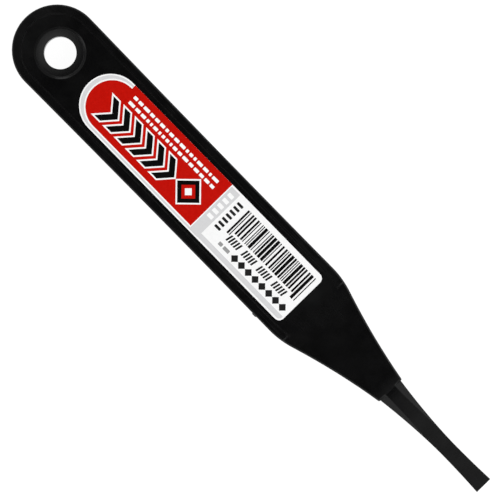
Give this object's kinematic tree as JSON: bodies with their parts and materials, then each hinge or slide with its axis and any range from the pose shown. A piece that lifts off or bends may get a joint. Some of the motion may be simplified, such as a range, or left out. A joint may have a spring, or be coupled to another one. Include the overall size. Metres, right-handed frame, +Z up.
{
  "type": "plastic scraper",
  "caption": "Flat plastic hand scraper with a hanging hole, a rimmed grip that tapers, a narrow flared blade and an adhesive label.",
  "frame": {"origin": "on the surface that the scraper lies on, under the middle of its length, width and outline box", "axes": "+X along the tool from the handle's round end to the blade's edge, +Z up out of the labelled face"},
  "size_m": [0.175, 0.0242, 0.006],
  "materials": {
    "moulded_plastic": "fine matte moulded texture",
    "printed_film": "glossy printed film"
  },
  "bodies": {
    "root": {"scraper_body": "moulded_plastic", "label": "printed_film"}
  },
  "joints": []
}
